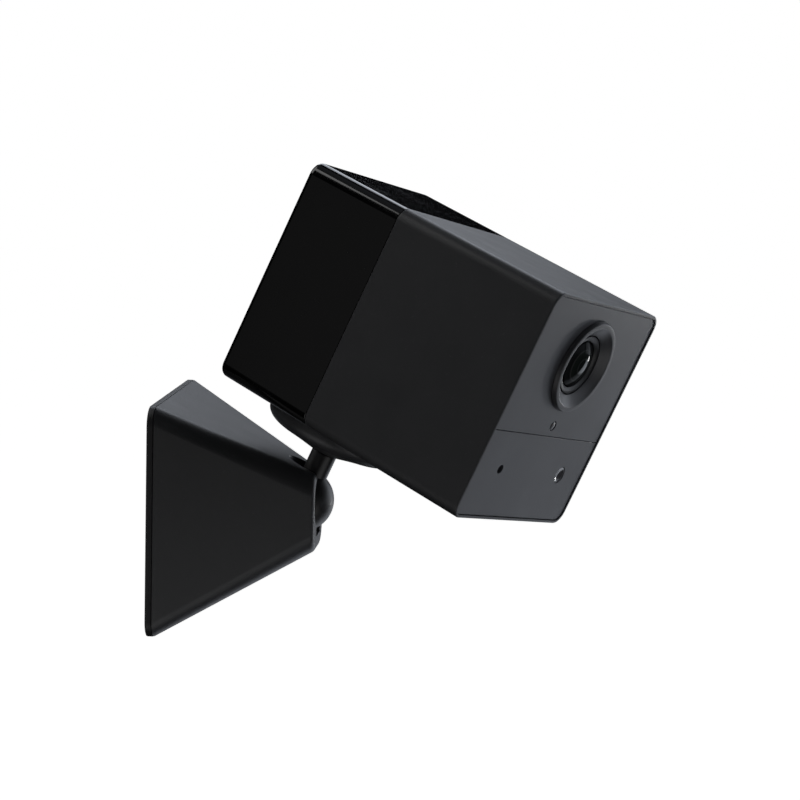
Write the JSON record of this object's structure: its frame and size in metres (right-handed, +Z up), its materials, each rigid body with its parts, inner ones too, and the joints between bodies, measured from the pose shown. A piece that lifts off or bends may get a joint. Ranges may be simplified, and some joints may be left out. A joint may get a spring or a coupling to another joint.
{
  "type": "security camera",
  "caption": "Box-shaped battery security camera held by magnet on a round dish, aimed by a ball-ended neck in a pyramid wall bracket.",
  "frame": {"origin": "centre of the wall plate's back face", "axes": "+Y into the wall, +Z up, +X to the right of someone facing the wall; the camera is aimed as it is at joint value 0"},
  "size_m": [0.0757, 0.1093, 0.1051],
  "materials": {
    "matte_charcoal": "fine moulded texture, satin matte, charcoal",
    "gloss_black": "polished high-gloss black",
    "panel_charcoal": "fine matte, slightly lighter charcoal",
    "black_plastic": "plain moulded black",
    "black_metal": "black coated metal, satin",
    "lens_glass": "coated optical glass",
    "dark_window": "dark translucent window",
    "board": "solder-masked circuit board",
    "steel": "plated steel",
    "black_rubber": "soft matte black rubber",
    "slip_plastic": "natural acetal, slippery",
    "battery_wrap": "shrink wrap over the cells",
    "lamp_white": "milky light pipe"
  },
  "bodies": {
    "bracket": {"wall_plate": "black_plastic", "bracket_cover": "matte_charcoal", "ball_seat": "slip_plastic", "seat_spring": "steel", "spring_carrier": "black_plastic", "carrier_screw_left": "steel", "carrier_screw_right": "steel", "lock_screw": "steel"},
    "arm": {"ball_neck": "black_metal", "magnet_dish": "matte_charcoal", "dish_magnet": "steel", "dish_pad": "black_rubber", "dish_screw": "steel"},
    "head": {"front_shell": "matte_charcoal", "rear_shell": "gloss_black", "front_panel_upper": "panel_charcoal", "front_panel_lower": "panel_charcoal", "rear_gasket": "black_rubber", "lens_bezel": "black_plastic", "lens_trim": "black_metal", "lens_glass": "lens_glass", "lens_barrel": "black_metal", "lens_holder": "black_plastic", "image_sensor": "dark_window", "sensor_board": "board", "front_board": "board", "pir_sensor": "steel", "microphone": "black_rubber", "light_sensor": "dark_window", "status_led": "lamp_white", "chassis": "black_plastic", "chassis_screw_1": "steel", "chassis_screw_2": "steel", "chassis_screw_3": "steel", "chassis_screw_4": "steel", "case_screw": "steel", "battery_pack": "battery_wrap", "main_board": "board", "wifi_module": "steel", "wifi_antenna": "slip_plastic", "io_board": "board", "usb_port": "steel", "card_slot": "steel", "speaker": "black_plastic", "steel_plate": "steel", "tact_switch": "black_plastic"},
    "button": {"power_button": "black_rubber"},
    "flap": {"port_flap": "black_rubber"}
  },
  "joints": [
    {"name": "ball_tilt", "type": "hinge", "parent": "bracket", "child": "arm", "pos_m": [0, -0.0311, 0.0023], "axis": [1, 0, 0], "range_deg": [-10, 75]},
    {"name": "head_swivel", "type": "hinge", "parent": "arm", "child": "head", "pos_m": [0, -0.0311, 0.0023], "axis": [0, -0.4003, 0.9164], "range_deg": [-63, 117]},
    {"name": "button_press", "type": "slide", "parent": "head", "child": "button", "axis": [-0.454, -0.8165, -0.3567], "range_m": [0, 0.0007], "stiffness_N_per_m": 2500},
    {"name": "flap_open", "type": "hinge", "parent": "head", "child": "flap", "pos_m": [0.00813, -0.0283, 0.03572], "axis": [-0.891, 0.416, 0.1818], "range_deg": [0, 90]}
  ]
}
